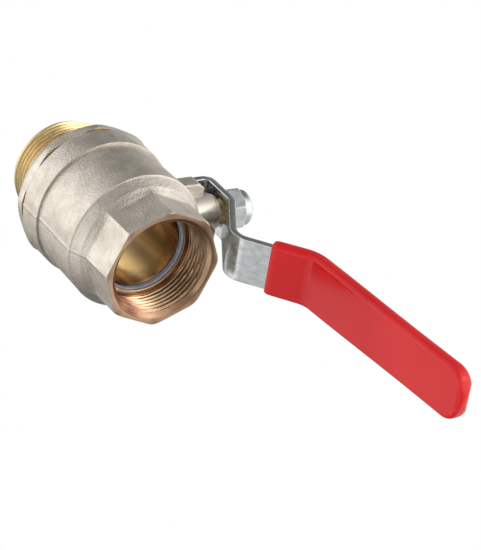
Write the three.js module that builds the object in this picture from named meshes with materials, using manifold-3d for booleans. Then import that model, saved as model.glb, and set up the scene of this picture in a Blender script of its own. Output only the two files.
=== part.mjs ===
// Full-bore 1 1/2 inch ball valve, male by female, with a strip lever. Millimetres, +Z up the stem.
// Origin: the centre of the ball, where the stem axis crosses the pipe axis. +X runs to the female end.
import * as THREE from 'three';
import { mergeVertices } from 'three/addons/utils/BufferGeometryUtils.js';
import Module from 'manifold-3d';

const wasm = await Module();
wasm.setup();

// ---- driving dimensions ----
const GAP = 0.3; // clearance kept between neighbouring pieces
const SIDES = 40; // facets around a large turned piece
const SMALL_SIDES = 24; // facets around a small turned piece

const THREAD_MAJOR_R = 23.9; // G 1 1/2 pipe thread
const THREAD_MINOR_R = 22.4;
const BORE_R = 19;

const FEMALE_FACE_X = 41.4;
const MALE_FACE_X = -57.7;
const JOINT_X = -28; // plane where the end cap closes the body
const STEP_X = -14.5; // small step on the outside of the body
const SHOULDER_X = 15.6; // front edge of the barrel
const BAND_R = 33.7;
const BARREL_R = 33;
const PORT_AF = 53; // octagon across flats at the female end
const PORT_FACE_R = 28.1; // lathe-turned edge of the octagon at its face
const PORT_CHAMFER_R = 24.9;
const PORT_THREAD_DEPTH = 16;

const BALL_R = 28.3;
const CAVITY_R = BALL_R + 1;
const SPIGOT_R = 29.2; // end cap's thread inside the body
const SEAT_OUTER_R = 24.6;
const SEAT_INNER_R = 19.6;
const SEAT_BACK_X = 23;
const LAND_R = 20.4;

const FLANGE_AF = 64; // octagon across flats on the end cap
const FLANGE_BACK_X = -39;

const NECK_R = 9;
const NECK_TOP_Z = 47.2;
const STEM_R = 5.9;
const STEM_SHOULDER_R = 7.2;
const STEM_SHOULDER_Z = 28.9;
const THRUST_Z = 31.1;
const STEM_STEP_Z = 51; // the lever sits just above this step
const STEM_TOP_Z = 67.7;
const STEM_FLAT = 8.4; // across the two flats that turn the lever
const TANG_WIDTH = 7;
const TANG_LENGTH = 13;
const TANG_BOTTOM_Z = 22.6;
const PACKING_INNER = STEM_R + 0.25;
const PACKING_OUTER = 7.35;

const STRIP_WIDTH = 21.6;
const STRIP_THICKNESS = 3.2;
const HUB_Z = STEM_STEP_Z + GAP; // underside of the lever at the stem
const TAB_X = -14.2; // outer face of the stop tab, which is as wide as the strip
const TAB_BEND_R = 5;
const TAB_BOTTOM_Z = 39.5;
const LEVER_TIP_X = 173;
const SLEEVE_WALL = 2.1;
const SLEEVE_START_X = 51;

const NUT_AF = 18;
const NUT_BOTTOM_Z = HUB_Z + STRIP_THICKNESS + GAP;
const NUT_HEX_H = 7.6;
const NUT_TOP_Z = 66.9;
const COLLAR_R = 8.2;

const LUG_FRONT_X = -2.7; // the open stop lug, between the neck and the tab's swing
const LUG_INNER_Y = -8.6;
const LUG_OUTER_Y = -13.6;
const LUG_TOP_Z = 45.2;
const LUG_ROOT_Z = 28;

// ---- solids ----
function toSolid(geometry) {
  const bare = geometry.index ? geometry.toNonIndexed() : geometry.clone();
  bare.deleteAttribute('normal');
  bare.deleteAttribute('uv');
  const merged = mergeVertices(bare, 1e-4);
  const vertProperties = new Float32Array(merged.attributes.position.array);
  const triVerts = new Uint32Array(merged.index.array);
  return new wasm.Manifold(new wasm.Mesh({ numProp: 3, vertProperties, triVerts }));
}

function toGeometry(solid) {
  const mesh = solid.getMesh();
  const geometry = new THREE.BufferGeometry();
  geometry.setAttribute('position', new THREE.BufferAttribute(new Float32Array(mesh.vertProperties), 3));
  geometry.setIndex(new THREE.BufferAttribute(new Uint32Array(mesh.triVerts), 1));
  geometry.computeVertexNormals();
  return geometry;
}

// Solid of revolution about +Z from [radius, height] points, closed on the axis or on itself.
function turnedZ(profile, sides = SMALL_SIDES) {
  const points = profile.map(([radius, height]) => new THREE.Vector2(radius, height));
  const onAxis = profile[0][0] === 0 && profile[profile.length - 1][0] === 0;
  if (!onAxis) points.push(points[0].clone());
  const area = THREE.ShapeUtils.area(points);
  if (area < 0) points.reverse();
  const geometry = new THREE.LatheGeometry(points, sides);
  geometry.rotateX(Math.PI / 2);
  return toSolid(geometry);
}

// Solid of revolution about +X from [radius, x] points.
function turnedX(profile, sides = SIDES) {
  return turnedZ(profile, sides).rotate([0, 90, 0]);
}

function rodX(radius, fromX, toX, sides = SIDES) {
  return turnedX([[0, fromX], [radius, fromX], [radius, toX], [0, toX]], sides);
}

function rodZ(radius, fromZ, toZ, sides = SMALL_SIDES) {
  return turnedZ([[0, fromZ], [radius, fromZ], [radius, toZ], [0, toZ]], sides);
}

function ringZ(inner, outer, fromZ, toZ, sides = SMALL_SIDES) {
  return turnedZ([[inner, fromZ], [outer, fromZ], [outer, toZ], [inner, toZ]], sides);
}

function block([minX, minY, minZ], [maxX, maxY, maxZ]) {
  const geometry = new THREE.BoxGeometry(maxX - minX, maxY - minY, maxZ - minZ);
  geometry.translate((minX + maxX) / 2, (minY + maxY) / 2, (minZ + maxZ) / 2);
  return toSolid(geometry);
}

// Regular prism about +X with corners on the Y and Z axes when it has 8 sides.
function prismX(acrossFlats, count, fromX, toX) {
  const cornerR = acrossFlats / 2 / Math.cos(Math.PI / count);
  return rodX(cornerR, fromX, toX, count);
}

function extruded(outline, depth, bevel = 0) {
  const options = { depth: depth - 2 * bevel, steps: 1, bevelEnabled: bevel > 0, bevelThickness: bevel };
  options.bevelSize = bevel;
  options.bevelOffset = -bevel;
  options.bevelSegments = 2;
  const geometry = new THREE.ExtrudeGeometry(new THREE.Shape(outline), options);
  geometry.translate(0, 0, -depth / 2 + bevel);
  return geometry;
}

// Points of a polyline with its inner corners rounded, as an arc of the given radius at each.
function rounded(corners, radii, steps = 6) {
  const points = [corners[0].clone()];
  for (let i = 1; i < corners.length - 1; i += 1) {
    const back = corners[i - 1].clone().sub(corners[i]).normalize();
    const ahead = corners[i + 1].clone().sub(corners[i]).normalize();
    const half = Math.acos(back.dot(ahead)) / 2;
    const reach = radii[i - 1] / Math.tan(half);
    const bisector = back.clone().add(ahead).normalize();
    const centre = corners[i].clone().addScaledVector(bisector, radii[i - 1] / Math.sin(half));
    const start = corners[i].clone().addScaledVector(back, reach).sub(centre);
    const end = corners[i].clone().addScaledVector(ahead, reach).sub(centre);
    const sweep = Math.atan2(start.cross(end), start.dot(end));
    for (let k = 0; k <= steps; k += 1) {
      points.push(start.clone().rotateAround(new THREE.Vector2(), (sweep * k) / steps).add(centre));
    }
  }
  points.push(corners[corners.length - 1].clone());
  return points;
}

// Outline of a strip that follows a path, from below (negative) to above (positive) of it.
function stripOutline(path, below, above) {
  const normals = path.map((point, i) => {
    const before = path[Math.max(i - 1, 0)];
    const after = path[Math.min(i + 1, path.length - 1)];
    const along = after.clone().sub(before).normalize();
    return new THREE.Vector2(-along.y, along.x);
  });
  const lower = path.map((point, i) => point.clone().addScaledVector(normals[i], -below));
  const upper = path.map((point, i) => point.clone().addScaledVector(normals[i], above));
  return lower.concat(upper.reverse());
}

// ---- body ----
function body() {
  const band = rodX(BAND_R, JOINT_X, STEP_X);
  const barrel = turnedX([
    [0, STEP_X - 1], [BARREL_R - 0.6, STEP_X - 1], [BARREL_R - 0.6, STEP_X], [BARREL_R, SHOULDER_X - 1],
    [BARREL_R - 0.5, SHOULDER_X + 0.4], [28.6, 22], [26.2, 26], [26.2, 30], [0, 30],
  ]);
  const envelope = turnedX([
    [0, 20], [31, 20], [28.8, 24.5], [29.2, FEMALE_FACE_X - 2.2],
    [PORT_FACE_R, FEMALE_FACE_X], [0, FEMALE_FACE_X],
  ]);
  const octagon = prismX(PORT_AF, 8, 20, FEMALE_FACE_X).intersect(envelope);
  const neck = turnedZ([[0, 26], [12, 26], [12, 32], [NECK_R, 36], [NECK_R, NECK_TOP_Z], [0, NECK_TOP_Z]]);
  const openLug = stopLug();
  const closedLug = openLug.rotate([0, 0, 90]).mirror([0, 1, 0]);
  const outside = band.add(barrel).add(octagon).add(neck).add(openLug).add(closedLug);
  const seatPocket = rodX(SEAT_OUTER_R + GAP, 0, SEAT_BACK_X + GAP);
  const land = rodX(LAND_R, 10, FEMALE_FACE_X);
  const threadEnd = FEMALE_FACE_X - PORT_THREAD_DEPTH;
  const port = turnedX([
    [0, threadEnd - 0.8], [LAND_R, threadEnd - 0.8], [THREAD_MINOR_R, threadEnd],
    [THREAD_MINOR_R, FEMALE_FACE_X - 1.6], [PORT_CHAMFER_R, FEMALE_FACE_X],
    [PORT_CHAMFER_R, FEMALE_FACE_X + 1], [0, FEMALE_FACE_X + 1],
  ]);
  const cavity = toSolid(new THREE.SphereGeometry(CAVITY_R, 24, 14).rotateX(Math.PI / 2));
  const spigotChamber = rodX(SPIGOT_R + GAP, JOINT_X - 1, 0);
  const sealGroove = rodX(SPIGOT_R + 2.2, JOINT_X - 1, JOINT_X + 2.6);
  const stemPocket = rodZ(STEM_SHOULDER_R + GAP, 0, THRUST_Z + 1 + 2 * GAP);
  const stemGuide = rodZ(STEM_R + GAP, 0, NECK_TOP_Z + 1);
  const packingChamber = rodZ(7.6, 36, NECK_TOP_Z + 1);
  const portHoles = [seatPocket, land, port, cavity, spigotChamber, sealGroove];
  const stemHoles = [stemPocket, stemGuide, packingChamber];
  return portHoles.concat(stemHoles).reduce((solid, hole) => solid.subtract(hole), outside);
}

// Block beside the neck, joined to it, that stops the lever's tab when the valve is open.
function stopLug() {
  const backX = TAB_X + STRIP_THICKNESS + GAP;
  const outline = [
    new THREE.Vector2(LUG_INNER_Y, LUG_ROOT_Z), new THREE.Vector2(LUG_INNER_Y, LUG_TOP_Z),
    new THREE.Vector2(LUG_OUTER_Y + 2.6, LUG_TOP_Z), new THREE.Vector2(LUG_OUTER_Y, LUG_TOP_Z - 3.2),
    new THREE.Vector2(LUG_OUTER_Y, LUG_ROOT_Z),
  ];
  const upright = extruded(outline, LUG_FRONT_X - backX).rotateX(Math.PI / 2).rotateZ(Math.PI / 2);
  const wing = toSolid(upright.translate((backX + LUG_FRONT_X) / 2, 0, 0));
  return wing.add(block([-8, LUG_INNER_Y - 1, LUG_ROOT_Z], [LUG_FRONT_X, -4, LUG_TOP_Z - 0.8]));
}

// ---- end cap ----
function endCap() {
  const flange = prismX(FLANGE_AF, 8, FLANGE_BACK_X, JOINT_X - GAP).intersect(turnedX([
    [0, FLANGE_BACK_X], [28.5, FLANGE_BACK_X], [34.4, -31.5], [34.4, JOINT_X - GAP], [0, JOINT_X - GAP],
  ]));
  const spigot = turnedX([
    [0, JOINT_X - 2], [SPIGOT_R, JOINT_X - 2], [SPIGOT_R, -17.5], [SPIGOT_R - 1, -16.3], [0, -16.3],
  ]);
  const thread = turnedX([
    [0, MALE_FACE_X], [THREAD_MINOR_R, MALE_FACE_X], [THREAD_MAJOR_R, MALE_FACE_X + 1.6],
    [THREAD_MAJOR_R, -42.6], [THREAD_MINOR_R - 0.3, -41.4], [THREAD_MINOR_R - 0.3, -38], [0, -38],
  ]);
  const bore = rodX(BORE_R + 0.3, MALE_FACE_X - 1, 0);
  const lead = turnedX([
    [0, MALE_FACE_X - 1], [BORE_R + 2.3, MALE_FACE_X - 1], [BORE_R + 2.3, MALE_FACE_X],
    [BORE_R + 0.3, MALE_FACE_X + 2], [0, MALE_FACE_X + 2],
  ]);
  const seatPocket = rodX(SEAT_OUTER_R + GAP, -SEAT_BACK_X - GAP, 0);
  return flange.add(spigot).add(thread).subtract(bore).subtract(lead).subtract(seatPocket);
}

// ---- ball and seats ----
function ball() {
  const sphere = toSolid(new THREE.SphereGeometry(BALL_R, 32, 20).rotateX(Math.PI / 2));
  const bore = rodX(BORE_R, -BALL_R, BALL_R);
  const slotHalf = TANG_WIDTH / 2 + GAP;
  const slot = block([-BALL_R, -slotHalf, TANG_BOTTOM_Z - GAP], [BALL_R, slotHalf, BALL_R + 1]);
  return sphere.subtract(bore).subtract(slot);
}

// Seat ring whose front is hollowed to the ball; side is 1 at the female end and -1 at the male end.
function seatRing(side) {
  const face = BALL_R + GAP;
  const steps = 5;
  const profile = [[SEAT_INNER_R, side * SEAT_BACK_X], [SEAT_OUTER_R, side * SEAT_BACK_X]];
  for (let k = 0; k <= steps; k += 1) {
    const radius = SEAT_OUTER_R + ((SEAT_INNER_R - SEAT_OUTER_R) * k) / steps;
    profile.push([radius, side * Math.sqrt(face * face - radius * radius)]);
  }
  return turnedX(profile);
}

function bodyJointSeal() {
  const wire = 0.85;
  const centreR = SPIGOT_R + 1.25;
  const centreX = JOINT_X + 1.3;
  const profile = [];
  for (let k = 0; k < 8; k += 1) {
    const angle = (k * Math.PI) / 4;
    profile.push([centreR + wire * Math.cos(angle), centreX + wire * Math.sin(angle)]);
  }
  return turnedX(profile);
}

// ---- stem and its seals ----
function stem() {
  const turned = turnedZ([
    [0, 28.6], [STEM_SHOULDER_R, STEM_SHOULDER_Z], [STEM_SHOULDER_R, THRUST_Z - GAP],
    [STEM_R, THRUST_Z - GAP], [STEM_R, 33.2], [STEM_R - 0.8, 33.2], [STEM_R - 0.8, 35], [STEM_R, 35],
    [STEM_R, STEM_TOP_Z - 0.9], [STEM_R - 0.9, STEM_TOP_Z], [0, STEM_TOP_Z],
  ]);
  const tangLow = [-TANG_LENGTH / 2, -TANG_WIDTH / 2, TANG_BOTTOM_Z];
  const tang = block(tangLow, [TANG_LENGTH / 2, TANG_WIDTH / 2, 29.5]);
  const flatTop = HUB_Z + STRIP_THICKNESS;
  const cutA = block([-10, STEM_FLAT / 2, STEM_STEP_Z], [10, 10, flatTop]);
  const cutB = block([-10, -10, STEM_STEP_Z], [10, -STEM_FLAT / 2, flatTop]);
  return turned.add(tang).subtract(cutA).subtract(cutB);
}

function stemSeal() {
  const inner = STEM_R - 0.8 + 0.15;
  return ringZ(inner, STEM_R + 0.12, 33.45, 34.75);
}

// Threaded ring that presses the packing down; its thin rim shows above the neck.
function glandNut() {
  return turnedZ([
    [PACKING_INNER, 42.9], [PACKING_OUTER, 42.9], [PACKING_OUTER, NECK_TOP_Z + 0.2],
    [8.2, NECK_TOP_Z + GAP], [8.2, NECK_TOP_Z + 1.5], [7.8, NECK_TOP_Z + 1.9],
    [PACKING_INNER, NECK_TOP_Z + 1.9],
  ]);
}

// ---- lever ----
// Underside of the strip, from the stop tab over the hub, down, up to the bend and out to the tip.
function leverPath() {
  const corners = [
    new THREE.Vector2(TAB_X + TAB_BEND_R, HUB_Z), new THREE.Vector2(8.2, HUB_Z),
    new THREE.Vector2(38.4, 34.4), new THREE.Vector2(67.1, 60.7), new THREE.Vector2(LEVER_TIP_X, 70.7),
  ];
  return rounded(corners, [7, 10.5, 12]);
}

// The sideways outline becomes a solid across Y.
function acrossY(outline, width, bevel) {
  return toSolid(extruded(outline, width, bevel).rotateX(Math.PI / 2));
}

// A plan outline with round corners at the tip, as a tall solid that trims the lever's end.
function tipTrim(halfWidth, tipX, cornerR) {
  const corners = [
    new THREE.Vector2(-40, halfWidth), new THREE.Vector2(tipX, halfWidth),
    new THREE.Vector2(tipX, -halfWidth), new THREE.Vector2(-40, -halfWidth),
  ];
  return toSolid(extruded(rounded(corners, [cornerR, cornerR]).reverse(), 160).translate(0, 0, 50));
}

function leverPlate() {
  const strip = acrossY(stripOutline(leverPath(), 0, STRIP_THICKNESS), STRIP_WIDTH, 0);
  const top = HUB_Z + STRIP_THICKNESS;
  const tabOutline = rounded([
    new THREE.Vector2(-7, top), new THREE.Vector2(TAB_X, top), new THREE.Vector2(TAB_X, TAB_BOTTOM_Z),
  ], [TAB_BEND_R]);
  tabOutline.push(new THREE.Vector2(TAB_X + STRIP_THICKNESS, TAB_BOTTOM_Z));
  const inside = rounded([
    new THREE.Vector2(TAB_X + STRIP_THICKNESS, TAB_BOTTOM_Z),
    new THREE.Vector2(TAB_X + STRIP_THICKNESS, HUB_Z), new THREE.Vector2(-7, HUB_Z),
  ], [TAB_BEND_R - STRIP_THICKNESS]);
  const tab = acrossY(tabOutline.concat(inside.slice(1)), STRIP_WIDTH, 0);
  const flats = block([-10, -STEM_FLAT / 2 - GAP, 45], [10, STEM_FLAT / 2 + GAP, 60]);
  const hole = rodZ(STEM_R + GAP, 45, 60).intersect(flats);
  return strip.add(tab).subtract(hole).intersect(tipTrim(STRIP_WIDTH / 2, LEVER_TIP_X - 1, 8));
}

function leverSleeve() {
  const path = leverPath();
  const tip = path[path.length - 1];
  const before = path[path.length - 2];
  const ahead = tip.clone().sub(before).normalize();
  path.push(tip.clone().addScaledVector(ahead, SLEEVE_WALL));
  const width = STRIP_WIDTH + 2 * SLEEVE_WALL;
  const outerOutline = stripOutline(path, SLEEVE_WALL, STRIP_THICKNESS + SLEEVE_WALL);
  const outerTrim = tipTrim(width / 2, tip.x + SLEEVE_WALL - 0.4, 9.5);
  const outer = acrossY(outerOutline, width, 1.9).intersect(outerTrim);
  const innerWidth = STRIP_WIDTH + 2 * GAP;
  const innerOutline = stripOutline(leverPath(), GAP, STRIP_THICKNESS + GAP);
  const inner = acrossY(innerOutline, innerWidth, 0).intersect(tipTrim(innerWidth / 2, tip.x - 0.6, 8));
  const start = block([-60, -40, 0], [0, 40, 120]).rotate([0, -41, 0]).translate([SLEEVE_START_X + 2, 0, 46]);
  return outer.subtract(inner).subtract(start.translate([0, 0, -60])).subtract(start);
}

function leverNut() {
  const hex = rodZ(NUT_AF / 2 / Math.cos(Math.PI / 6), NUT_BOTTOM_Z, NUT_BOTTOM_Z + NUT_HEX_H, 6);
  const crown = turnedZ([
    [0, NUT_BOTTOM_Z], [9.1, NUT_BOTTOM_Z], [10.5, NUT_BOTTOM_Z + 1], [10.5, NUT_BOTTOM_Z + NUT_HEX_H - 1],
    [9, NUT_BOTTOM_Z + NUT_HEX_H], [0, NUT_BOTTOM_Z + NUT_HEX_H],
  ]);
  const hexTop = NUT_BOTTOM_Z + NUT_HEX_H;
  const collar = turnedZ([
    [0, hexTop - 1], [COLLAR_R + 0.5, hexTop - 1], [COLLAR_R, hexTop + 0.4], [COLLAR_R, NUT_TOP_Z - 1.6],
    [COLLAR_R - 1.4, NUT_TOP_Z], [0, NUT_TOP_Z],
  ]);
  const turnedHex = hex.rotate([0, 0, -32]).intersect(crown);
  const insertPocket = rodZ(7.3, NUT_TOP_Z - 3.1, NUT_TOP_Z - 0.8);
  const bore = rodZ(STEM_R + GAP, 50, 70);
  return turnedHex.add(collar).subtract(insertPocket).subtract(bore);
}

// ---- assembly ----
const NICKEL = { color: 0xa59c8e, metalness: 0.9, roughness: 0.38 };
const BRASS = { color: 0xb98a45, metalness: 1, roughness: 0.3 };
const CHROME = { color: 0xbfc2c6, metalness: 1, roughness: 0.12 };
const ZINC = { color: 0xb4bcc2, metalness: 0.95, roughness: 0.3 };
const PTFE = { color: 0xe6e9ee, metalness: 0, roughness: 0.45 };
const RUBBER = { color: 0x1c1c1c, metalness: 0, roughness: 0.7 };
const RED_VINYL = { color: 0xc3141b, metalness: 0, roughness: 0.28 };
const NYLON = { color: 0xd9dde0, metalness: 0, roughness: 0.5 };

const pieces = [
  ['body', body(), NICKEL],
  ['end_cap', endCap(), NICKEL],
  ['seat_ring_front', seatRing(1), PTFE],
  ['seat_ring_back', seatRing(-1), PTFE],
  ['body_joint_seal', bodyJointSeal(), RUBBER],
  ['thrust_washer', ringZ(PACKING_INNER, STEM_SHOULDER_R, THRUST_Z, THRUST_Z + 1), PTFE],
  ['packing_ring_lower', ringZ(PACKING_INNER, PACKING_OUTER, 36.3, 39.3), PTFE],
  ['packing_ring_upper', ringZ(PACKING_INNER, PACKING_OUTER, 39.6, 42.6), PTFE],
  ['gland_nut', glandNut(), BRASS],
  ['ball', ball(), CHROME],
  ['stem', stem(), BRASS],
  ['stem_seal', stemSeal(), RUBBER],
  ['lever_plate', leverPlate(), ZINC],
  ['lever_sleeve', leverSleeve(), RED_VINYL],
  ['lever_nut', leverNut(), ZINC],
  ['nut_insert', ringZ(STEM_R + 0.2, 7.1, NUT_TOP_Z - 2.9, NUT_TOP_Z - 1), NYLON],
];

const valve = new THREE.Group();
for (const [name, solid, look] of pieces) {
  const mesh = new THREE.Mesh(toGeometry(solid), new THREE.MeshStandardMaterial(look));
  mesh.name = name;
  valve.add(mesh);
}

export default valve;
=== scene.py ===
import math

import bmesh
import bpy
from mathutils import Matrix, Vector


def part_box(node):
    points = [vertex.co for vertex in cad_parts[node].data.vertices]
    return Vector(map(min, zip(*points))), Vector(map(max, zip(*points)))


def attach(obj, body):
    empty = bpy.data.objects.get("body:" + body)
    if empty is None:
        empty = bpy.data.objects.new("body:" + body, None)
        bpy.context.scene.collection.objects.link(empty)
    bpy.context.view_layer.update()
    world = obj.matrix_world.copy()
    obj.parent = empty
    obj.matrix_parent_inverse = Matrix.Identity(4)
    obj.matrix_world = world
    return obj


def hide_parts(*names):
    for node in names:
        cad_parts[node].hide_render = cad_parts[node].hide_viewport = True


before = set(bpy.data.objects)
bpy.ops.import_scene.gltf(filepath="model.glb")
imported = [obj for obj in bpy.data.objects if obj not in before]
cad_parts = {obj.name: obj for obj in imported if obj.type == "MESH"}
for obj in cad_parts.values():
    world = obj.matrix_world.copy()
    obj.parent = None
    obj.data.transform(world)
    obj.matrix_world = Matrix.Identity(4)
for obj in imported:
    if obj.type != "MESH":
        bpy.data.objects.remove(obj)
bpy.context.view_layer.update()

MM = 0.001
TURN = 2 * math.pi
SEGMENTS = 288  # around the body, the end cap and the ball
SMALL_SEGMENTS = 96  # around the stem, the nut and the gland

# ---- sizes from the frame, in millimetres ----


def span(node, axis):
    low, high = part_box(node)
    return low[axis] / MM, high[axis] / MM


JOINT_X, FACE_X = span("body", 0)
NECK_TOP = span("body", 2)[1]
MALE_X, SPIGOT_X = span("end_cap", 0)
FLANGE_X = JOINT_X - 0.3
BAND_R = -span("body", 2)[0]
BALL_R = span("ball", 1)[1]
SEAT_R = span("seat_ring_front", 1)[1]
SEAT_X = span("seat_ring_front", 0)[1]
NUT_BOTTOM, NUT_TOP = span("lever_nut", 2)
GLAND_BOTTOM, GLAND_TOP = span("gland_nut", 2)
STEM_TOP = span("stem", 2)[1]
STRIP_HALF = span("lever_plate", 1)[1]
TAB_X, TIP_X = span("lever_plate", 0)
SLEEVE_HALF = span("lever_sleeve", 1)[1]
SLEEVE_TIP_X = span("lever_sleeve", 0)[1]

# ---- sizes of the pieces' own features, in millimetres ----
THREAD_MAJOR = 23.9
THREAD_MINOR = 22.4
THREAD_PITCH = 2.309
BORE_R = 19.0
LAND_R = 20.4
PORT_HALF_AF = 26.5
STEP_X = -14.5
SHOULDER_X = 15.6
BARREL_R = 33.0
STEM_R = 5.9
STRIP_THICK = 3.2
HUB_Z = 51.3
STEM_PITCH = 1.75
GAP = 0.3  # clearance between neighbouring pieces
THREAD_DEPTH = 16.0  # of the female thread, from the body's face
PORT_FACE_R = 25.1  # inner edge of the flat face around the female port
THREAD_LAND_R = THREAD_MINOR + 0.35
MALE_THREAD_X = -42.6  # inner end of the male thread
SEAT_INNER_R = 19.6
CAVITY_R = BALL_R + 1
SPIGOT_R = 29.2
SEAL_GROOVE_R = 31.4
SEAL_GROOVE_X = JOINT_X + 2.6
NECK_R = 9.0
PACKING_R = 7.6
PACKING_FLOOR = 36
STEM_RING_R = 5.1  # bottom of the groove for the stem's O-ring
TANG_HALF = 3.5
HEX_HEIGHT = 7.6
NUT_HALF_AF = 9.0
NUT_TURN = math.radians(32)
COLLAR_R = 8.2
LUG_TOP = 45.2
LUG_FRONT_X = -2.7
TAB_BOTTOM = 39.5
SLEEVE_MOUTH_X = 52.6
SLEEVE_EDGE = 2.6  # rounding of the sleeve's long edges
TIP_CORNER_R = 9.5

# Underside of the lever as (x, z) corners, and the radius of each bend.
LEVER_CORNERS = [(TAB_X + 5, HUB_Z), (8.2, HUB_Z), (38.4, 34.4), (67.1, 60.7), (TIP_X + 1, 70.7)]
LEVER_RADII = [7, 10.5, 12]

# ---- studio settings, in metres ----
CAMERA_PLACE = Vector((1.139, -0.7235, -0.7435))
CAMERA_TARGET = Vector((0.0379, 0.0113, 0.0441))
CAMERA_UP = Vector((-0.4859, -0.8647, 0.1275))
CAMERA_LENS = 225.7
FLOOR_HALF = 60.0
FLOOR_Z = -1.0
STUDIO_MIDDLE = (0.05, 0.0, 0.03)
SKY_BASE = 0.15
SKY_LOBES = [  # direction, cosine where it fades out, cosine where it is full, strength
    (Vector((-0.62, -0.10, -0.76)), 0.25, 0.95, 0.98),
    (Vector((0.71, -0.50, 0.50)), 0.50, 0.95, 0.95),
    (Vector((0.30, 0.30, -0.90)), 0.50, 0.98, 0.60),
    (Vector((0.10, 0.10, 1.00)), 0.30, 0.95, 0.95),
]


# ---- small shape functions ----
def smooth_max(a, b, blend):
    h = max(blend - abs(a - b), 0.0) / blend
    return max(a, b) + h * h * blend / 4


def smooth_min(a, b, blend):
    return -smooth_max(-a, -b, blend)


def ramp(value, points):
    """Straight-line interpolation through (position, value) points."""
    if value <= points[0][0]:
        return points[0][1]
    for (x0, y0), (x1, y1) in zip(points, points[1:]):
        if value <= x1:
            return y0 + (y1 - y0) * (value - x0) / (x1 - x0)
    return points[-1][1]


def polygon_radius(angle, half_flats, sides):
    """Distance from the centre to a regular polygon's edge, with a corner at angle 0."""
    sector = TURN / sides
    return half_flats / math.cos((angle % sector) - sector / 2)


def thread_height(along, angle, pitch):
    """Height of a rounded 55 degree thread, 0 at the root and 1 at the crest."""
    phase = (along / pitch - angle / TURN) % 1.0
    ridge = 1.0 - abs(2.0 * phase - 1.0)
    return min(max((ridge - 0.12) / 0.76, 0.0), 1.0)


def steps(start, end, size):
    count = max(1, int(math.ceil(abs(end - start) / size)))
    return [start + (end - start) * i / count for i in range(count + 1)]


# ---- mesh building ----
def new_object(name, bm, materials):
    mesh = bpy.data.meshes.new(name)
    bmesh.ops.recalc_face_normals(bm, faces=bm.faces)
    bm.to_mesh(mesh)
    bm.free()
    for material in materials:
        mesh.materials.append(material)
    obj = bpy.data.objects.new(name, mesh)
    bpy.context.scene.collection.objects.link(obj)
    return obj


def shade(obj, degrees=32):
    """Smooth shading that keeps edges sharper than the angle."""
    obj.data.polygons.foreach_set("use_smooth", [True] * len(obj.data.polygons))
    limit = math.radians(degrees)
    bm = bmesh.new()
    bm.from_mesh(obj.data)
    for edge in bm.edges:
        if len(edge.link_faces) == 2 and edge.calc_face_angle(0.0) > limit:
            edge.smooth = False
    bm.to_mesh(obj.data)
    bm.free()


def turned(name, rows, materials, axis="X", segments=SEGMENTS):
    """A ring-shaped solid: rows of (height, radius or radius function, material index) around an axis.

    The last row joins the first one, so the profile closes on itself. Angles start at -Z for X solids.
    """
    bm = bmesh.new()
    loops = []
    for height, radius, _ in rows:
        loop = []
        for i in range(segments):
            angle = TURN * i / segments
            r = radius(angle) if callable(radius) else radius
            if axis == "X":
                place = (height, r * math.sin(angle), -r * math.cos(angle))
            else:
                place = (r * math.cos(angle), r * math.sin(angle), height)
            loop.append(bm.verts.new([c * MM for c in place]))
        loops.append(loop)
    for k, (_, _, slot_index) in enumerate(rows):
        here, there = loops[k], loops[(k + 1) % len(rows)]
        for i in range(segments):
            j = (i + 1) % segments
            face = bm.faces.new((here[i], here[j], there[j], there[i]))
            face.material_index = slot_index
    obj = new_object(name, bm, materials)
    shade(obj)
    return obj


def swept(name, stations, materials, corner_steps=5):
    """A bar of rounded-rectangle section. A station is (point, up, half width, below, above, corner)."""
    bm = bmesh.new()
    loops = []
    for (x, z), (ux, uz), half, below, above, corner in stations:
        centre_lo = -below + corner
        centre_hi = above - corner
        loop = []
        quarters = ((1, centre_lo, -90), (1, centre_hi, 0), (-1, centre_hi, 90), (-1, centre_lo, 180))
        for sy, cz, start in quarters:
            for k in range(corner_steps + 1):
                a = math.radians(start + 90 * k / corner_steps)
                across = sy * (half - corner) + corner * math.cos(a)
                height = cz + corner * math.sin(a)
                loop.append(bm.verts.new(((x + ux * height) * MM, across * MM, (z + uz * height) * MM)))
        loops.append(loop)
    for here, there in zip(loops, loops[1:]):
        for i in range(len(here)):
            j = (i + 1) % len(here)
            bm.faces.new((here[i], here[j], there[j], there[i]))
    bm.faces.new(loops[0])
    bm.faces.new(loops[-1])
    obj = new_object(name, bm, materials)
    shade(obj, 40)
    return obj


def prism(name, outline, low_x, high_x, bevel, materials):
    """An outline of (y, z) points pulled along X, with rounded edges."""
    bm = bmesh.new()
    ends = [[bm.verts.new((x * MM, y * MM, z * MM)) for y, z in outline] for x in (low_x, high_x)]
    count = len(outline)
    for i in range(count):
        j = (i + 1) % count
        bm.faces.new((ends[0][i], ends[0][j], ends[1][j], ends[1][i]))
    bm.faces.new(ends[0])
    bm.faces.new(ends[1])
    obj = new_object(name, bm, materials)
    rounding = obj.modifiers.new("rounding", "BEVEL")
    rounding.width = bevel * MM
    rounding.segments = 3
    obj.data.polygons.foreach_set("use_smooth", [True] * len(obj.data.polygons))
    return obj


def cut(obj, tool):
    """Cuts the tool out of the object and deletes the tool."""
    bpy.context.view_layer.update()
    modifier = obj.modifiers.new("cut", "BOOLEAN")
    modifier.operation = "DIFFERENCE"
    modifier.solver = "EXACT"
    modifier.object = tool
    graph = bpy.context.evaluated_depsgraph_get()
    mesh = bpy.data.meshes.new_from_object(obj.evaluated_get(graph))
    obj.modifiers.remove(modifier)
    obj.data = mesh
    bpy.data.objects.remove(tool)
    shade(obj, 40)


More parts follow.
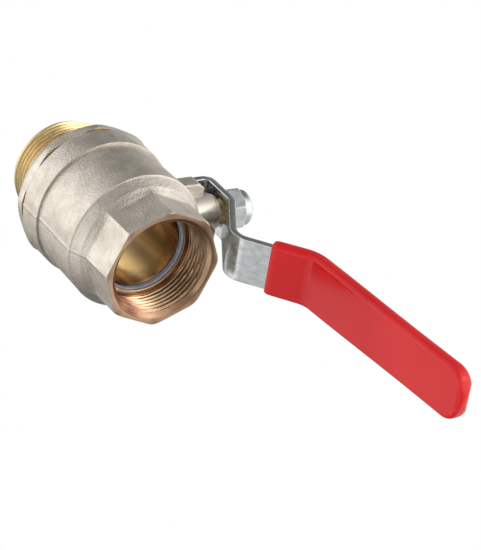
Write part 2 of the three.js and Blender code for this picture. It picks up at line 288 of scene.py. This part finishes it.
# ---- materials ----
class Graph:
    """A few shorthands for building one material's nodes."""

    def __init__(self, name, color, metallic, roughness):
        self.material = bpy.data.materials.new(name)
        self.material.use_nodes = True
        self.tree = self.material.node_tree
        self.shader = self.tree.nodes["Principled BSDF"]
        self.shader.inputs["Base Color"].default_value = (*color, 1)
        self.shader.inputs["Metallic"].default_value = metallic
        self.shader.inputs["Roughness"].default_value = roughness
        self.coords = self.tree.nodes.new("ShaderNodeTexCoord")

    def link(self, source, target):
        self.tree.links.new(source, target)

    def noise(self, scale, detail=4.0, stretch=(1, 1, 1)):
        mapping = self.tree.nodes.new("ShaderNodeMapping")
        mapping.inputs["Scale"].default_value = stretch
        self.link(self.coords.outputs["Object"], mapping.inputs["Vector"])
        node = self.tree.nodes.new("ShaderNodeTexNoise")
        node.inputs["Scale"].default_value = scale
        node.inputs["Detail"].default_value = detail
        node.inputs["Roughness"].default_value = 0.55
        self.link(mapping.outputs["Vector"], node.inputs["Vector"])
        return node.outputs["Fac"]

    def spread(self, source, low, high, from_low=0.3, from_high=0.7):
        node = self.tree.nodes.new("ShaderNodeMapRange")
        node.inputs["From Min"].default_value = from_low
        node.inputs["From Max"].default_value = from_high
        node.inputs["To Min"].default_value = low
        node.inputs["To Max"].default_value = high
        self.link(source, node.inputs["Value"])
        return node.outputs["Result"]

    def blend_colors(self, source, dark, light, low=0.3, high=0.7):
        node = self.tree.nodes.new("ShaderNodeValToRGB")
        node.color_ramp.elements[0].position = low
        node.color_ramp.elements[0].color = (*dark, 1)
        node.color_ramp.elements[1].position = high
        node.color_ramp.elements[1].color = (*light, 1)
        self.link(source, node.inputs["Fac"])
        return node.outputs["Color"]

    def mix(self, factor, first, second):
        node = self.tree.nodes.new("ShaderNodeMix")
        node.data_type = "RGBA"
        self.link(factor, node.inputs["Factor"])
        self.link(first, node.inputs[6])
        if isinstance(second, tuple):
            node.inputs[7].default_value = (*second, 1)
        else:
            self.link(second, node.inputs[7])
        return node.outputs[2]

    def edges(self, low=0.52, high=0.62):
        """1 along convex edges, from the mesh's pointiness: worn edges on the metals, a painted highlight on
        the vinyl.
        """
        geometry = self.tree.nodes.new("ShaderNodeNewGeometry")
        return self.spread(geometry.outputs["Pointiness"], 0, 1, low, high)

    def bump(self, source, strength, distance, under=None):
        node = self.tree.nodes.new("ShaderNodeBump")
        node.inputs["Strength"].default_value = strength
        node.inputs["Distance"].default_value = distance
        self.link(source, node.inputs["Height"])
        if under is not None:
            self.link(under, node.inputs["Normal"])
        return node.outputs["Normal"]

    def finish(self, color=None, roughness=None, normal=None):
        for source, socket in ((color, "Base Color"), (roughness, "Roughness"), (normal, "Normal")):
            if source is not None:
                self.link(source, self.shader.inputs[socket])
        return self.material


def forged_nickel():
    """Shot-blasted forging under satin nickel: pebbled grain, soft mottling, brighter edges."""
    g = Graph("forged_nickel", (0.72, 0.67, 0.60), 1.0, 0.44)
    grain = g.noise(1100, 3)
    mottle = g.noise(120, 5)
    color = g.blend_colors(mottle, (0.60, 0.545, 0.475), (0.77, 0.725, 0.66))
    color = g.mix(g.edges(), color, (0.88, 0.84, 0.77))
    roughness = g.spread(g.noise(260, 4), 0.46, 0.58)
    normal = g.bump(grain, 0.8, 0.00035)
    normal = g.bump(g.noise(330, 4), 0.3, 0.0003, normal)
    return g.finish(color, roughness, normal)


def turned_nickel():
    """Machined then plated: faint lines around the stem."""
    g = Graph("turned_nickel", (0.74, 0.69, 0.61), 1.0, 0.36)
    lines = g.noise(60, 3, (1, 1, 30))
    color = g.blend_colors(g.noise(120, 4), (0.68, 0.62, 0.54), (0.78, 0.73, 0.66))
    return g.finish(color, g.spread(lines, 0.32, 0.42), g.bump(lines, 0.08, 0.00004))


def bare_brass(name, dark, light, stretch, rough_low, rough_high):
    """Freshly machined brass with tool lines and a little tarnish."""
    g = Graph(name, light, 1.0, rough_low)
    lines = g.noise(55, 3, stretch)
    tarnish = g.noise(70, 5)
    color = g.blend_colors(tarnish, dark, light)
    color = g.mix(g.edges(0.53, 0.66), color, (0.95, 0.80, 0.52))
    return g.finish(color, g.spread(lines, rough_low, rough_high), g.bump(lines, 0.15, 0.00005))


def brushed_ball():
    """Plated ball whose bore is honed: lines around the bore, with slow dark and light stripes along it that
    are painted reflections.
    """
    g = Graph("ball_plate", (0.70, 0.62, 0.50), 1.0, 0.18)
    lines = g.noise(45, 4, (50, 1, 1))
    # The dark brown to pale tan stripes along the bore are painted reflections, not marks on the plating.
    streaks = g.noise(70, 2, (0.12, 1, 1))
    color = g.blend_colors(streaks, (0.40, 0.27, 0.17), (0.88, 0.76, 0.60), 0.40, 0.62)
    return g.finish(color, g.spread(lines, 0.14, 0.26), g.bump(lines, 0.2, 0.00004))


def zinc_plate():
    """Bright zinc on rolled strip: cool, with soft crystalline patches and rolling streaks."""
    g = Graph("zinc_plate", (0.62, 0.65, 0.67), 1.0, 0.24)
    patches = g.noise(260, 5, (1, 1.6, 1))
    streaks = g.noise(60, 4, (1, 9, 1))
    color = g.blend_colors(patches, (0.50, 0.535, 0.56), (0.74, 0.765, 0.78))
    color = g.mix(g.edges(), color, (0.9, 0.92, 0.93))
    normal = g.bump(patches, 0.12, 0.00008)
    normal = g.bump(streaks, 0.1, 0.00008, normal)
    return g.finish(color, g.spread(streaks, 0.17, 0.34), normal)


def red_vinyl():
    """Thick dip-moulded vinyl: glossy, with slow waves, faint scuffs and a painted highlight along its
    edges.
    """
    g = Graph("red_vinyl", (0.72, 0.016, 0.022), 0.0, 0.2)
    g.shader.inputs["Specular IOR Level"].default_value = 0.26
    g.shader.inputs["Coat Weight"].default_value = 0.08
    g.shader.inputs["Coat Roughness"].default_value = 0.12
    color = g.blend_colors(g.noise(24, 3), (0.60, 0.008, 0.012), (0.72, 0.016, 0.020))
    # Brighter red along the convex edges is a painted highlight, not wear.
    color = g.mix(g.edges(0.5, 0.6), color, (0.84, 0.04, 0.045))
    normal = g.bump(g.noise(40, 2), 0.08, 0.0004)
    normal = g.bump(g.noise(1500, 2), 0.03, 0.00004, normal)
    return g.finish(color, g.spread(g.noise(160, 5), 0.16, 0.26), normal)


def moulded(name, dark, light, rough_low, rough_high):
    """Plastic or rubber with fine mottling."""
    g = Graph(name, light, 0.0, rough_high)
    color = g.blend_colors(g.noise(180, 4), dark, light)
    roughness = g.spread(g.noise(400, 3), rough_low, rough_high)
    return g.finish(color, roughness, g.bump(g.noise(900, 3), 0.1, 0.00005))


NICKEL = forged_nickel()
NECK_NICKEL = turned_nickel()
PORT_BRASS = bare_brass("port_brass", (0.36, 0.21, 0.13), (0.78, 0.56, 0.35), (60, 1, 1), 0.22, 0.34)
FACE_BRASS = bare_brass("face_brass", (0.31, 0.165, 0.11), (0.47, 0.27, 0.185), (1, 8, 8), 0.30, 0.42)
MALE_BRASS = bare_brass("male_brass", (0.66, 0.48, 0.22), (0.84, 0.66, 0.36), (60, 1, 1), 0.26, 0.38)
STEM_BRASS = bare_brass("stem_brass", (0.60, 0.43, 0.20), (0.80, 0.62, 0.34), (1, 1, 60), 0.24, 0.36)
BALL_PLATE = brushed_ball()
ZINC = zinc_plate()
VINYL = red_vinyl()
PTFE = moulded("ptfe", (0.30, 0.33, 0.42), (0.46, 0.50, 0.59), 0.22, 0.36)
RUBBER = moulded("rubber", (0.012, 0.012, 0.013), (0.03, 0.03, 0.032), 0.5, 0.7)
NYLON = moulded("nylon", (0.62, 0.66, 0.70), (0.78, 0.81, 0.84), 0.35, 0.5)


# ---- body ----
BARREL_PROFILE = [
    (JOINT_X, BAND_R - 0.5), (JOINT_X + 0.5, BAND_R), (STEP_X - 0.35, BAND_R), (STEP_X, BAND_R - 0.35),
    (STEP_X + 0.02, 32.5), (STEP_X + 0.6, 32.35),
    (SHOULDER_X - 1.2, BARREL_R), (SHOULDER_X - 0.3, BARREL_R + 0.1),
    (SHOULDER_X + 0.3, BARREL_R - 0.5), (20.4, 30.0), (22.8, 27.6), (24.6, 24.5), (27, 20.0),
]
ENVELOPE = [
    (18, 30.5), (FACE_X - 3.0, 29.2), (FACE_X - 1.2, 28.8), (FACE_X - 0.4, 28.35), (FACE_X, 27.9),
]


def body_outside(x):
    """Radius of the body's outside at x, as a function of the angle from -Z."""
    barrel = ramp(x, BARREL_PROFILE)
    envelope = ramp(x, ENVELOPE)
    flash_height = ramp(x, [(JOINT_X, 0.28), (22, 0.28), (30, 0.12), (34, 0.0)])

    def radius(angle):
        flats = smooth_min(polygon_radius(angle, PORT_HALF_AF, 8), envelope, 0.5)
        r = smooth_max(barrel, flats, 3.0) if x > SHOULDER_X + 1 else barrel
        off_line = math.atan2(math.sin(angle), math.cos(angle)) * r
        wave = 1 + 0.3 * math.sin(x * 1.3) * math.sin(x * 0.47 + 1)
        return r + flash_height * wave * math.exp(-(off_line / 0.55) ** 2)

    return radius


def female_thread(x):
    depth = FACE_X - THREAD_DEPTH
    fade = min(max((x - depth) / 1.5, 0.0), 1.0) * min(max((FACE_X - 0.9 - x) / 1.2, 0.0), 1.0)
    root = ramp(x, [(FACE_X - 2.6, THREAD_MINOR), (FACE_X - 0.3, THREAD_MINOR + 2.3)])

    def radius(angle):
        groove = THREAD_MINOR + (THREAD_MAJOR - THREAD_MINOR) * fade * thread_height(x, angle, THREAD_PITCH)
        return max(groove, root)

    return radius


def make_body():
    thread_end = FACE_X - THREAD_DEPTH
    rows = [(x, body_outside(x), 0) for x in steps(JOINT_X, STEP_X - 0.4, 1.2)]
    rows += [(x, body_outside(x), 0) for x in (STEP_X - 0.2, STEP_X, STEP_X + 0.02, STEP_X + 0.3)]
    rows += [(x, body_outside(x), 0) for x in steps(STEP_X + 0.7, SHOULDER_X - 1.2, 1.5)]
    rows += [(x, body_outside(x), 0) for x in steps(SHOULDER_X - 0.9, 27, 0.3)]
    rows += [(x, body_outside(x), 0) for x in steps(27.6, FACE_X - 3.2, 0.8)]
    rows += [(x, body_outside(x), 0) for x in steps(FACE_X - 3.0, FACE_X - 0.25, 0.25)]
    rows += [(FACE_X - 0.12, body_outside(FACE_X - 0.12), 2), (FACE_X, body_outside(FACE_X), 2)]
    rows += [(FACE_X, PORT_FACE_R, 2), (FACE_X - 0.1, PORT_FACE_R - 0.2, 2)]
    rows += [(x, female_thread(x), 1) for x in steps(FACE_X - 0.4, thread_end, 0.17)]
    rows += [(thread_end - 0.5, THREAD_LAND_R, 1), (thread_end - 0.9, THREAD_LAND_R, 1)]
    rows += [(thread_end - 1.0, LAND_R + 0.3, 1), (thread_end - 1.2, LAND_R, 1)]
    rows += [(SEAT_X + GAP, LAND_R, 1), (SEAT_X + GAP, SEAT_R + GAP, 1), (16, SEAT_R + GAP, 1)]
    rows += [(x, math.sqrt(CAVITY_R ** 2 - x * x), 1) for x in steps(15.8, 0, 1.5)]
    rows += [(-1, SPIGOT_R + GAP, 1), (SEAL_GROOVE_X, SPIGOT_R + GAP, 1)]
    rows += [(SEAL_GROOVE_X, SEAL_GROOVE_R, 1), (JOINT_X, SEAL_GROOVE_R, 1)]
    obj = turned("valve_body_shell", rows, [NICKEL, PORT_BRASS, FACE_BRASS])
    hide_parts("body")
    return obj


def make_neck():
    base = [(30.4, 13.4), (31.4, 12.4), (32.4, 11.3), (33.6, 10.2), (35.0, 9.35), (36.6, NECK_R)]
    rows = [(z, r, 0) for z, r in base]
    rows += [(NECK_TOP - 0.5, NECK_R, 0), (NECK_TOP - 0.15, NECK_R - 0.15, 0), (NECK_TOP, NECK_R - 0.4, 0)]
    rows += [(NECK_TOP, PACKING_R, 0), (PACKING_FLOOR, PACKING_R, 0)]
    rows += [(PACKING_FLOOR, STEM_R + GAP, 0), (30.4, STEM_R + GAP, 0)]
    return turned("stem_neck", rows, [NECK_NICKEL], axis="Z", segments=SMALL_SEGMENTS)


def make_stop_lugs():
    """Two forged blocks beside the neck, a quarter turn and a mirror apart."""
    outline = [(-4, 27), (-4, LUG_TOP - 0.8), (-8.6, LUG_TOP), (-11.0, LUG_TOP), (-13.6, 42.0), (-13.6, 27)]
    back_x = TAB_X + STRIP_THICK + GAP
    first = prism("stop_lug_open", outline, back_x, LUG_FRONT_X, 0.6, [NICKEL])
    second = prism("stop_lug_closed", outline, back_x, LUG_FRONT_X, 0.6, [NICKEL])
    second.data.transform(Matrix(((0, -1, 0, 0), (-1, 0, 0, 0), (0, 0, 1, 0), (0, 0, 0, 1))))
    second.data.flip_normals()
    for lug in (first, second):
        cut(lug, rod_tool("neck_core", NECK_R - 0.4, 20, 60))
    return [first, second]


def rod_tool(name, radius, low, high):
    """A plain round tool about Z for cutting."""
    bm = bmesh.new()
    length = (high - low) * MM
    place = Matrix.Translation((0, 0, (low + high) / 2 * MM))
    bmesh.ops.create_cone(
        bm, cap_ends=True, segments=96, radius1=radius * MM, radius2=radius * MM, depth=length, matrix=place
    )
    return new_object(name, bm, [])


# ---- end cap ----
def flange_outside(x):
    envelope = ramp(x, [
        (FLANGE_X - 11, 27.0), (-36.2, 31.0), (-31.5, 34.2), (FLANGE_X - 0.6, 34.4), (FLANGE_X, 34.0),
    ])
    return lambda angle: smooth_min(polygon_radius(angle, 32.6, 8), envelope, 1.2)


def male_thread(x):
    fade = min(max((x - MALE_X - 0.6) / 1.6, 0.0), 1.0) * min(max((MALE_THREAD_X - x) / 1.0, 0.0), 1.0)
    land = ramp(x, [(MALE_X, THREAD_MINOR - 0.1), (MALE_X + 1.2, THREAD_MINOR)])

    def radius(angle):
        return land + (THREAD_MAJOR - land) * fade * thread_height(x, angle, THREAD_PITCH)

    return radius


def make_end_cap():
    rows = [(x, flange_outside(x), 0) for x in steps(FLANGE_X, FLANGE_X - 10.6, 0.35)]
    rows += [(FLANGE_X - 10.9, 26.0, 0), (FLANGE_X - 11.1, 24.6, 0), (FLANGE_X - 11.6, 23.4, 1)]
    rows += [(-41.4, 22.1, 1), (-42.3, 22.1, 1)]
    rows += [(x, male_thread(x), 1) for x in steps(MALE_THREAD_X, MALE_X, 0.17)]
    rows += [(MALE_X, 21.5, 1), (MALE_X + 0.2, 21.2, 1), (MALE_X + 2.0, BORE_R + 0.3, 1)]
    rows += [(-SEAT_X - GAP, BORE_R + GAP, 1), (-SEAT_X - GAP, SEAT_R + GAP, 1), (SPIGOT_X, SEAT_R + GAP, 1)]
    rows += [(SPIGOT_X, SPIGOT_R - 0.8, 1), (SPIGOT_X - 1.0, SPIGOT_R, 1), (FLANGE_X, SPIGOT_R, 1)]
    obj = turned("end_cap_shell", rows, [NICKEL, MALE_BRASS])
    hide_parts("end_cap")
    return obj


# ---- ball, seats and seals ----
def make_ball():
    face_x = math.sqrt(BALL_R ** 2 - BORE_R ** 2)
    rows = []
    for k in range(73):
        a = math.radians(-math.degrees(math.asin(face_x / BALL_R)) * (1 - k / 36))
        rows.append((BALL_R * math.sin(a), BALL_R * math.cos(a), 0))
    rows += [(face_x - 0.35, BORE_R + 0.05, 0), (face_x - 0.8, BORE_R, 0)]
    rows += [(x, BORE_R, 0) for x in (12, 0, -12)]
    rows += [(-face_x + 0.8, BORE_R, 0), (-face_x + 0.35, BORE_R + 0.05, 0)]
    obj = turned("ball_sphere", rows, [BALL_PLATE])
    slot_outline = [(-3.8, 22.3), (3.8, 22.3), (3.8, 30), (-3.8, 30)]
    tool = prism("tang_slot", slot_outline, -32, 32, 0.01, [])
    tool.modifiers.clear()
    cut(obj, tool)
    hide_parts("ball")
    return obj


def make_seat(node, side):
    face = BALL_R + GAP
    inner = SEAT_INNER_R
    rows = [(side * (SEAT_X - 0.25), inner, 0), (side * SEAT_X, inner + 0.25, 0), (side * SEAT_X, SEAT_R, 0)]
    for k in range(9):
        r = SEAT_R + (inner - SEAT_R) * k / 8
        rows.append((side * math.sqrt(face * face - r * r), r, 0))
    obj = turned(node + "_ring", rows, [PTFE])
    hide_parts(node)
    return obj


# ---- stem, gland and nut ----
def stem_outside(z):
    def radius(angle):
        if z < NUT_BOTTOM:
            return STEM_R
        fade = min(max((STEM_TOP - 0.8 - z) / 0.8, 0.0), 1.0)
        chamfer = STEM_R - max(z - (STEM_TOP - 0.9), 0.0)
        return min(STEM_R - 0.75 * (1 - thread_height(z, angle, STEM_PITCH)) * fade, chamfer)

    return radius


def make_stem_end():
    """The stem from its shoulder up, with the thread that shows above the nut."""
    rows = [(31.0, 0.2, 0), (31.0, STEM_R, 0), (33.2, STEM_R, 0)]
    rows += [(33.2, STEM_RING_R, 0), (35, STEM_RING_R, 0), (35, STEM_R, 0)]
    rows += [(z, stem_outside(z), 0) for z in steps(HUB_Z, STEM_TOP, 0.12)]
    rows += [(STEM_TOP, 0.2, 0)]
    return turned("stem_shaft", rows, [STEM_BRASS], axis="Z", segments=SMALL_SEGMENTS)


def make_stem_foot():
    """Shoulder and tang below the neck, out of sight inside the valve."""
    rows = [(28.7, 0.2, 0), (28.9, 7.0, 0), (29.1, 7.2, 0), (30.6, 7.2, 0), (30.8, 7.0, 0), (30.95, 0.2, 0)]
    shoulder = turned("stem_shoulder", rows, [STEM_BRASS], axis="Z", segments=SMALL_SEGMENTS)
    outline = [(-TANG_HALF, 22.6), (TANG_HALF, 22.6), (TANG_HALF, 28.85), (-TANG_HALF, 28.85)]
    return [shoulder, prism("stem_tang", outline, -6.5, 6.5, 0.4, [STEM_BRASS])]


def make_gland():
    rows = [(GLAND_BOTTOM, 6.2, 0), (GLAND_BOTTOM, 7.35, 0)]
    rows += [(NECK_TOP + 0.2, 7.35, 0), (NECK_TOP + 0.3, 8.1, 0), (NECK_TOP + 0.45, 8.25, 0)]
    rows += [(GLAND_TOP - 0.4, 8.2, 0), (GLAND_TOP - 0.1, 7.95, 0)]
    rows += [(GLAND_TOP, 7.7, 0), (GLAND_TOP, 6.4, 0), (GLAND_TOP - 0.2, 6.2, 0)]
    obj = turned("gland_ring", rows, [NECK_NICKEL], axis="Z", segments=SMALL_SEGMENTS)
    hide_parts("gland_nut")
    return obj


def nut_outside(z):
    hex_top = NUT_BOTTOM + HEX_HEIGHT
    envelope = ramp(z, [
        (NUT_BOTTOM, 9.1), (NUT_BOTTOM + 0.5, 9.9), (NUT_BOTTOM + 1.2, 10.45),
        (hex_top - 1.2, 10.4), (hex_top - 0.45, 9.7), (hex_top, 8.5),
    ])
    return lambda angle: smooth_min(polygon_radius(angle + NUT_TURN, NUT_HALF_AF, 6), envelope, 0.35)


def make_nut():
    hex_top = NUT_BOTTOM + HEX_HEIGHT
    rows = [(NUT_BOTTOM, STEM_R + 0.25, 0)]
    rows += [(z, nut_outside(z), 0) for z in steps(NUT_BOTTOM, hex_top, 0.2)]
    rows += [(hex_top + 0.15, COLLAR_R - 0.05, 0), (hex_top + 0.6, COLLAR_R - 0.1, 0)]
    for k in range(9):
        a = math.radians(90 * k / 8)
        rows.append((NUT_TOP - 2.0 + 1.9 * math.sin(a), 6.3 + 1.9 * math.cos(a), 0))
    rows += [(NUT_TOP, 6.0, 0), (NUT_TOP - 0.7, 6.2, 0), (NUT_TOP - 0.9, 7.25, 0), (NUT_TOP - 3.0, 7.25, 0)]
    rows += [(NUT_TOP - 3.05, STEM_R + 0.25, 0)]
    obj = turned("lock_nut", rows, [ZINC], axis="Z", segments=180)
    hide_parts("lever_nut")
    return obj


# ---- lever ----
def arc_path(corners, radii, arc_steps=14):
    """Points and unit normals along a polyline of (x, z) corners with each inner corner rounded."""
    points = [Vector(corners[0])]
    for i in range(1, len(corners) - 1):
        corner = Vector(corners[i])
        back = (Vector(corners[i - 1]) - corner).normalized()
        ahead = (Vector(corners[i + 1]) - corner).normalized()
        half = back.angle(ahead) / 2
        radius = radii[i - 1]
        centre = corner + (back + ahead).normalized() * (radius / math.sin(half))
        start = corner + back * (radius / math.tan(half)) - centre
        end = corner + ahead * (radius / math.tan(half)) - centre
        sweep = math.atan2(start.x * end.y - start.y * end.x, start.dot(end))
        for k in range(arc_steps + 1):
            a = sweep * k / arc_steps
            turned_by = Vector((
                start.x * math.cos(a) - start.y * math.sin(a), start.x * math.sin(a) + start.y * math.cos(a)
            ))
            points.append(centre + turned_by)
    points.append(Vector(corners[-1]))
    normals = []
    for i in range(len(points)):
        along = (points[min(i + 1, len(points) - 1)] - points[max(i - 1, 0)]).normalized()
        normals.append(Vector((-along.y, along.x)))
    return points, normals




def make_lever_plate():
    inner_tab = TAB_X + STRIP_THICK
    corners = [(inner_tab, TAB_BOTTOM), (inner_tab, HUB_Z)] + LEVER_CORNERS[1:]
    points, normals = arc_path(corners, [1.8] + LEVER_RADII)
    stations = []
    for point, normal in zip(points, normals):
        end_cut = ramp(point.x, [(TIP_X - 8, 0.0), (TIP_X, 5.0)])
        stations.append((point, normal, STRIP_HALF - end_cut, 0.0, STRIP_THICK, 0.45))
    dense = densify(stations)
    obj = swept("lever_strip", dense, [ZINC])
    cut(obj, rod_tool("stem_hole", STEM_R + 0.25, 45, 58))
    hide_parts("lever_plate")
    return obj


def densify(stations, step=2.0):
    """Adds stations so that none are further apart than the step."""
    dense = [stations[0]]
    for before, after in zip(stations, stations[1:]):
        gap = (after[0] - before[0]).length
        count = max(1, int(gap / step))
        for k in range(1, count + 1):
            t = k / count
            point = before[0].lerp(after[0], t)
            normal = before[1].lerp(after[1], t).normalized()
            sizes = [a + (b - a) * t for a, b in zip(before[2:], after[2:])]
            dense.append((point, normal, *sizes))
    return dense


def make_sleeve():
    points, normals = arc_path(LEVER_CORNERS, LEVER_RADII)
    wall = SLEEVE_HALF - STRIP_HALF
    along = points[-1] - points[-2]
    points.append(points[-1] + along.normalized() * (SLEEVE_TIP_X - points[-1].x - 0.3))
    normals.append(normals[-1])
    body_stations = densify([
        (p, n, SLEEVE_HALF, wall, STRIP_THICK + wall, SLEEVE_EDGE)
        for p, n in zip(points, normals)
    ], 1.0)
    kept = [s for s in body_stations if s[0].x >= SLEEVE_MOUTH_X]
    travelled = [0.0]
    for before, after in zip(kept, kept[1:]):
        travelled.append(travelled[-1] + (after[0] - before[0]).length)
    total = travelled[-1]
    stations = []
    for (point, normal, half, below, above, corner), s in zip(kept, travelled):
        to_tip = total - s
        swell = 0.18 * math.sin(s / 19.0)
        into = max(TIP_CORNER_R - to_tip, 0.0)
        plan = TIP_CORNER_R - math.sqrt(max(TIP_CORNER_R ** 2 - into ** 2, 0.0))
        edge = max(SLEEVE_EDGE - to_tip, 0.0)
        thin = SLEEVE_EDGE - math.sqrt(max(SLEEVE_EDGE ** 2 - edge ** 2, 0.0))
        mouth = 0.7 * math.exp(-s / 0.8)
        shrink = thin + mouth
        stations.append((
            point, normal, half + swell - plan - mouth, below - shrink * 0.9, above - shrink * 0.9,
            max(corner - shrink * 0.8, 0.3),
        ))
    obj = swept("grip_sleeve", stations, [VINYL], corner_steps=7)
    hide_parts("lever_sleeve")
    return obj


# ---- build everything ----
def build():
    on_body = [make_body(), make_neck(), *make_stop_lugs(), make_end_cap(), make_gland()]
    on_body += [make_seat("seat_ring_front", 1), make_seat("seat_ring_back", -1)]
    on_lever = [make_stem_end(), *make_stem_foot(), make_lever_plate(), make_sleeve(), make_nut()]
    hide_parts("stem")
    for piece in on_body:
        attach(piece, "valve_body")
    for piece in on_lever:
        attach(piece, "lever")
    sphere = make_ball()
    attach(sphere, "ball")
    kept_nodes = {
        "body_joint_seal": RUBBER, "thrust_washer": PTFE, "packing_ring_lower": PTFE,
        "packing_ring_upper": PTFE, "stem_seal": RUBBER, "nut_insert": NYLON,
    }
    for node, material in kept_nodes.items():
        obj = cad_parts[node]
        for material_slot in obj.material_slots:
            material_slot.material = material


# ---- studio ----
def area_light(name, place, size, watts):
    data = bpy.data.lights.new(name, "AREA")
    data.shape = "DISK"
    data.size = size
    data.energy = watts
    lamp = bpy.data.objects.new(name, data)
    lamp.location = place
    lamp.rotation_euler = (Vector(STUDIO_MIDDLE) - place).to_track_quat("-Z", "Y").to_euler()
    bpy.context.scene.collection.objects.link(lamp)


def make_camera():
    data = bpy.data.cameras.new("camera")
    data.lens = CAMERA_LENS
    data.sensor_width = 36
    data.clip_end = 250
    camera = bpy.data.objects.new("camera", data)
    back = (CAMERA_PLACE - CAMERA_TARGET).normalized()
    right = CAMERA_UP.cross(back).normalized()
    up = back.cross(right)
    camera.matrix_world = Matrix((
        (right.x, up.x, back.x, CAMERA_PLACE.x), (right.y, up.y, back.y, CAMERA_PLACE.y),
        (right.z, up.z, back.z, CAMERA_PLACE.z), (0, 0, 0, 1),
    ))
    bpy.context.scene.collection.objects.link(camera)
    bpy.context.scene.camera = camera


def make_floor():
    bm = bmesh.new()
    corners = ((-1, -1), (1, -1), (1, 1), (-1, 1))
    bm.faces.new([bm.verts.new((FLOOR_HALF * x, FLOOR_HALF * y, 0)) for x, y in corners])
    g = Graph("floor_paint", (0.88, 0.88, 0.88), 0.0, 0.7)
    color = g.blend_colors(g.noise(3, 2), (0.87, 0.87, 0.87), (0.9, 0.9, 0.9))
    floor = new_object("floor", bm, [g.finish(color)])
    floor.location.z = FLOOR_Z
    floor.visible_glossy = False


def lobe(tree, source, direction, start, end, strength):
    """Soft patch of light on the sky around a direction."""
    dot = tree.nodes.new("ShaderNodeVectorMath")
    dot.operation = "DOT_PRODUCT"
    dot.inputs[1].default_value = direction.normalized()
    tree.links.new(source, dot.inputs[0])
    tone = tree.nodes.new("ShaderNodeMapRange")
    tone.interpolation_type = "SMOOTHSTEP"
    tone.inputs["From Min"].default_value = start
    tone.inputs["From Max"].default_value = end
    tone.inputs["To Min"].default_value = 0.0
    tone.inputs["To Max"].default_value = strength
    tree.links.new(dot.outputs["Value"], tone.inputs["Value"])
    return tone.outputs["Result"]


def make_world():
    """A pale sky with soft bright patches around it; the camera sees plain white behind the object."""
    world = bpy.data.worlds.new("studio")
    bpy.context.scene.world = world
    world.use_nodes = True
    tree = world.node_tree
    shade_node = tree.nodes["Background"]
    shade_node.inputs["Color"].default_value = (1.0, 0.985, 0.96, 1)
    coords = tree.nodes.new("ShaderNodeTexCoord").outputs["Generated"]
    total = None
    for direction, start, end, strength in SKY_LOBES:
        part = lobe(tree, coords, direction, start, end, strength)
        add = tree.nodes.new("ShaderNodeMath")
        add.operation = "ADD"
        tree.links.new(part, add.inputs[0])
        if total is None:
            add.inputs[1].default_value = SKY_BASE
        else:
            tree.links.new(total, add.inputs[1])
        total = add.outputs["Value"]
    tree.links.new(total, shade_node.inputs["Strength"])
    plain = tree.nodes.new("ShaderNodeBackground")
    plain.inputs["Color"].default_value = (1, 1, 1, 1)
    plain.inputs["Strength"].default_value = 1.0
    rays = tree.nodes.new("ShaderNodeLightPath")
    mix = tree.nodes.new("ShaderNodeMixShader")
    tree.links.new(rays.outputs["Is Camera Ray"], mix.inputs["Fac"])
    tree.links.new(shade_node.outputs["Background"], mix.inputs[1])
    tree.links.new(plain.outputs["Background"], mix.inputs[2])
    tree.links.new(mix.outputs["Shader"], tree.nodes["World Output"].inputs["Surface"])




def make_studio():
    make_floor()
    make_world()
    area_light("key", Vector((-0.64, -0.14, -0.61)), 0.7, 1.2)
    area_light("side", Vector((0.70, -0.50, 0.52)), 0.5, 1.2)
    area_light("front", Vector((0.60, -0.30, -0.85)), 0.5, 0.5)


build()
make_camera()
make_studio()
bpy.context.scene.view_settings.view_transform = "Standard"
bpy.context.view_layer.update()
